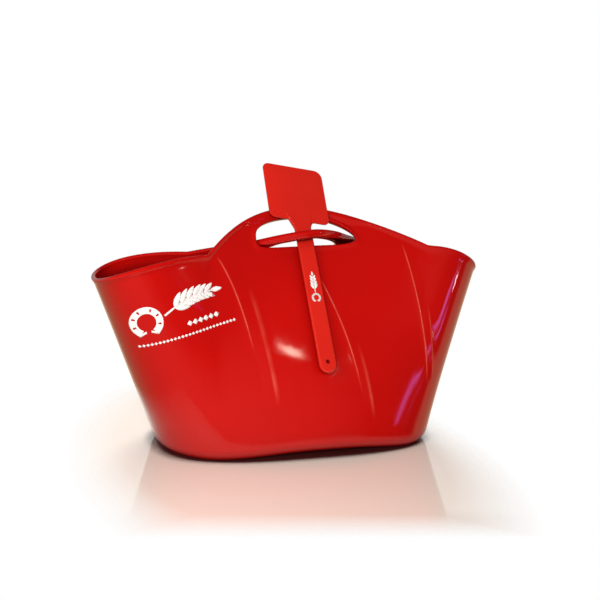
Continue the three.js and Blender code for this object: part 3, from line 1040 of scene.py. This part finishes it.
def moulded_plastic(name, plastic):
    """Moulded plastic: colour drift, crease lines worn pale with a painted highlight, painted shade in
    hollows and inside the tub, scuffed gloss and ripple.
    """
    material = bpy.data.materials.new(name)
    nodes = Nodes(material)
    drift = nodes.ramp(nodes.noise(9, 2), 0.35, 0.65, 0, 1)
    wear = nodes.add("ShaderNodeAttribute", attribute_name="wear").outputs["Fac"]
    # crease lines worn pale, with a painted highlight
    rub_and_highlight_share = nodes.math("MULTIPLY", wear, nodes.ramp(nodes.noise(70, 3), 0.3, 0.6, 0.45, 0.85))
    body = nodes.blend(drift, plastic["colour"], plastic["deep"])
    worn_and_highlit = nodes.blend(rub_and_highlight_share, body, plastic["pale"])
    # painted shade: the colour darkens where the surface faces a hollow or the floor
    open_share = nodes.add("ShaderNodeAmbientOcclusion", {"Distance": HOLLOW_PAINTED_SHADE["reach"]}).outputs["AO"]
    light = nodes.ramp(open_share, *HOLLOW_PAINTED_SHADE["open_share"], 1 - HOLLOW_PAINTED_SHADE["strength"], 1)
    # painted shade inside the tub, read from the inside attribute
    inside = nodes.add("ShaderNodeAttribute", attribute_name="inside").outputs["Fac"]
    light = nodes.math("MULTIPLY", light, nodes.ramp(inside, 0, 1, 1, INSIDE_PAINTED_SHADE["share"]))
    nodes.feed(nodes.shader.inputs["Base Color"], nodes.blend(light, (0, 0, 0, 1), worn_and_highlit))
    scuffs = nodes.ramp(nodes.noise(55, 6, 0.65, stretch=(1, 1, 0.35)), 0.55, 0.75, 0, 1)
    haze = nodes.ramp(nodes.noise(14, 3), 0.3, 0.7, -0.03, 0.04)
    base = nodes.math("ADD", haze, plastic["roughness"])
    scuffed = nodes.math("MULTIPLY", scuffs, plastic["scuff"])
    nodes.feed(nodes.shader.inputs["Roughness"], nodes.math("ADD", base, scuffed))
    ripple = nodes.bump(nodes.noise(38, 2), 0.10, 0.0012)
    grain = nodes.bump(nodes.noise(900, 2), 0.05, 0.0002, ripple)
    nodes.feed(nodes.shader.inputs["Normal"], grain)
    nodes.shader.inputs["IOR"].default_value = 1.5
    return material


def ink_material():
    material = bpy.data.materials.new("white_ink")
    nodes = Nodes(material)
    wear = nodes.ramp(nodes.noise(260, 4, 0.6), 0.62, 0.75, 0, 1)
    colour = nodes.blend(wear, WHITE_INK["fresh"], WHITE_INK["worn"])
    nodes.feed(nodes.shader.inputs["Base Color"], colour)
    roughness = nodes.ramp(nodes.noise(400, 3), 0.3, 0.7, 0.30, 0.45)
    nodes.feed(nodes.shader.inputs["Roughness"], roughness)
    return material


def floor_material():
    """Warm, glossy white sheet with a painted contact shadow near the bucket, that fades out into the
    white surround.
    """
    material = bpy.data.materials.new("studio_floor")
    nodes = Nodes(material)
    # painted contact shadow: the floor's colour darkens close to the bucket
    open_share = nodes.add("ShaderNodeAmbientOcclusion", {"Distance": FLOOR["contact"]}).outputs["AO"]
    lit = nodes.ramp(open_share, *FLOOR["open_share"], 0, 1)
    nodes.feed(nodes.shader.inputs["Base Color"], nodes.blend(lit, FLOOR["shade"], FLOOR["colour"]))
    nodes.feed(nodes.shader.inputs["Roughness"], nodes.ramp(nodes.noise(6, 3), 0.3, 0.7, 0.05, 0.08))
    nodes.feed(nodes.shader.inputs["IOR"], FLOOR["ior"])
    place = nodes.add("ShaderNodeNewGeometry").outputs["Position"]
    moved = nodes.vector("ADD", place, FLOOR["middle"])
    radius = nodes.vector("LENGTH", nodes.vector("MULTIPLY", moved, FLOOR["stretch"]))
    near = nodes.vector("DOT_PRODUCT", place, FLOOR["across"])
    far_share = nodes.ramp(radius, *FLOOR["fade"], 0, 1)
    gone = nodes.math("MAXIMUM", far_share, nodes.ramp(near, *FLOOR["near_edge"], 0, 1))
    clear = nodes.add("ShaderNodeBsdfTransparent").outputs[0]
    mixed = nodes.add("ShaderNodeMixShader", {0: gone, 1: nodes.shader.outputs[0], 2: clear})
    nodes.tree.links.new(mixed.outputs[0], nodes.tree.nodes["Material Output"].inputs["Surface"])
    return material


def paint(obj, material):
    obj.data.materials.clear()
    obj.data.materials.append(material)


# ---------- studio ----------


def make_camera():
    turn, pitch = math.radians(CAMERA["turn"]), math.radians(CAMERA["pitch"])
    ahead = Vector((math.sin(turn), math.cos(turn), 0))
    right = Vector((math.cos(turn), -math.sin(turn), 0))
    camera = bpy.data.objects.new("camera", bpy.data.cameras.new("camera"))
    bpy.context.scene.collection.objects.link(camera)
    up = Vector((0, 0, CAMERA["height"]))
    camera.location = (right * CAMERA["aside"] - ahead * CAMERA["distance"] + up) * MM
    look = ahead * math.cos(pitch) - Vector((0, 0, math.sin(pitch)))
    camera.rotation_euler = look.to_track_quat("-Z", "Y").to_euler()
    camera.data.sensor_width, camera.data.lens = 36, CAMERA["lens"]
    bpy.context.scene.camera = camera


def floor_collection():
    """The floor alone, for the lights that are kept for it."""
    collection = bpy.data.collections.new("floor_only")
    collection.objects.link(bpy.data.objects["floor"])
    return collection


def make_floor():
    half = 6000
    corners = [(-half, -half, 0), (half, -half, 0), (half, half, 0), (-half, half, 0)]
    floor = new_object("floor", corners, [(0, 1, 2, 3)], smooth_shading=False)
    paint(floor, floor_material())
    floor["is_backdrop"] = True


def make_world():
    """White for the camera; in reflections white behind the object and dark in front of it."""
    world = bpy.data.worlds.new("studio")
    bpy.context.scene.world = world
    nodes = Nodes(world)
    incoming = nodes.add("ShaderNodeNewGeometry").outputs["Incoming"]
    to_left, _, to_ground = nodes.add("ShaderNodeSeparateXYZ", {0: incoming}).outputs
    behind = nodes.ramp(nodes.vector("DOT_PRODUCT", incoming, WORLD["front_axis"]), 0.25, 0.11, 0, 1)
    leftwards = nodes.ramp(to_left, -0.35, 0.15, 0, 1)
    low = nodes.ramp(to_ground, -0.50, -0.30, 0, 1)
    below = nodes.ramp(to_ground, 0.02, 0.12, 0, 1)
    ground = nodes.blend(nodes.ramp(to_left, -0.2, 0.2, 0, 1), WORLD["ground_right"], WORLD["ground_left"])
    front = nodes.blend(nodes.math("MULTIPLY", leftwards, low), WORLD["dark"], WORLD["front"])
    backdrop = nodes.blend(below, WORLD["behind"], ground)
    mirrored = nodes.blend(nodes.math("MULTIPLY", behind, low), front, backdrop)
    rays = nodes.add("ShaderNodeLightPath").outputs
    unseen = nodes.blend(rays["Is Glossy Ray"], WORLD["ambient"], mirrored)
    colour = nodes.blend(rays["Is Camera Ray"], unseen, (1, 1, 1, 1))
    nodes.feed(nodes.tree.nodes["Background"].inputs["Color"], colour)


def towards(point, azimuth, elevation, distance):
    """The place seen from point at an azimuth and an elevation."""
    azimuth, elevation = math.radians(azimuth), math.radians(elevation)
    level = math.cos(elevation)
    direction = Vector((math.sin(azimuth) * level, -math.cos(azimuth) * level, math.sin(elevation)))
    return Vector(point) + direction * distance


def area_light(name, place, aim, size, power, colour):
    light = bpy.data.lights.new(name, "AREA")
    light.shape = "RECTANGLE"
    light.size, light.size_y = size[0] * MM, size[1] * MM
    light.energy, light.color = power, colour
    obj = bpy.data.objects.new(name, light)
    bpy.context.scene.collection.objects.link(obj)
    obj.location = Vector(place) * MM
    obj.rotation_mode = "QUATERNION"
    obj.rotation_quaternion = (Vector(aim) - Vector(place)).to_track_quat("-Z", "Y")
    return obj


def make_soft_lights(floor_only):
    for name, soft in SOFT_LIGHTS.items():
        light = area_light(name, soft["place"], SOFT_AIM, soft["size"], soft["power"], soft["colour"])
        light.visible_glossy = False
    bpy.data.objects["top"].light_linking.receiver_collection = floor_only


def make_backdrop(floor_only):
    size, power, colour = BACKDROP["size"], BACKDROP["power"], BACKDROP["colour"]
    light = area_light("backdrop", BACKDROP["place"], BACKDROP["aim"], size, power, colour)
    light.visible_camera = light.visible_diffuse = False
    light.light_linking.receiver_collection = floor_only


def make_mirrored_lights():
    for name, seen in MIRRORED_LIGHTS.items():
        place = towards(seen["point"], seen["azimuth"], seen["elevation"], seen["distance"])
        light = area_light(name, place, seen["aim"], seen["size"], seen["power"], seen["colour"])
        light.rotation_quaternion @= Quaternion((0, 0, 1), math.radians(seen["roll"]))
        light.data.spread = math.radians(seen["spread"])
        light.visible_diffuse = False


# ---------- put together ----------


def main():
    scene = bpy.context.scene
    scene.view_settings.view_transform = "Standard"

    tub_plastic = moulded_plastic("tub_plastic", TUB_PLASTIC)
    spatula_plastic = moulded_plastic("spatula_plastic", SPATULA_PLASTIC)
    ink = ink_material()

    tub = make_tub()
    paint(tub, tub_plastic)
    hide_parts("tub")
    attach(tub, "tub_body")

    spatula = make_spatula()
    paint(spatula, spatula_plastic)
    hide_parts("spatula")
    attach(spatula, "spatula_body")

    long_row = lozenges(start=(1, 2), stop=(101, 2), count=27, size=3.3)
    short_row = lozenges(start=(54, 13), stop=(84, 13), count=6, size=6)
    ear = oat_ear(root=(31, 28), tip=(88, 38), lift=5, grains=6, length=18, width=7)
    drawings = {
        "tub_print_horseshoe": horseshoe(centre=(12.7, 25.5), radius=12.6, band=7),
        "tub_print_oats": ear,
        "tub_print_bands": long_row + short_row,
    }
    for name, parts in drawings.items():
        film = make_tub_print(name, parts)
        paint(film, ink)
        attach(film, "tub_body")
    film = make_spatula_print()
    paint(film, ink)
    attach(film, "spatula_body")

    make_floor()
    make_world()
    floor_only = floor_collection()
    make_soft_lights(floor_only)
    make_backdrop(floor_only)
    make_mirrored_lights()
    make_camera()

    boxes = {"cad": CAD_BOX, "visual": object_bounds()}
    {name: [list(corner) for corner in box] for name, box in boxes.items()}


main()
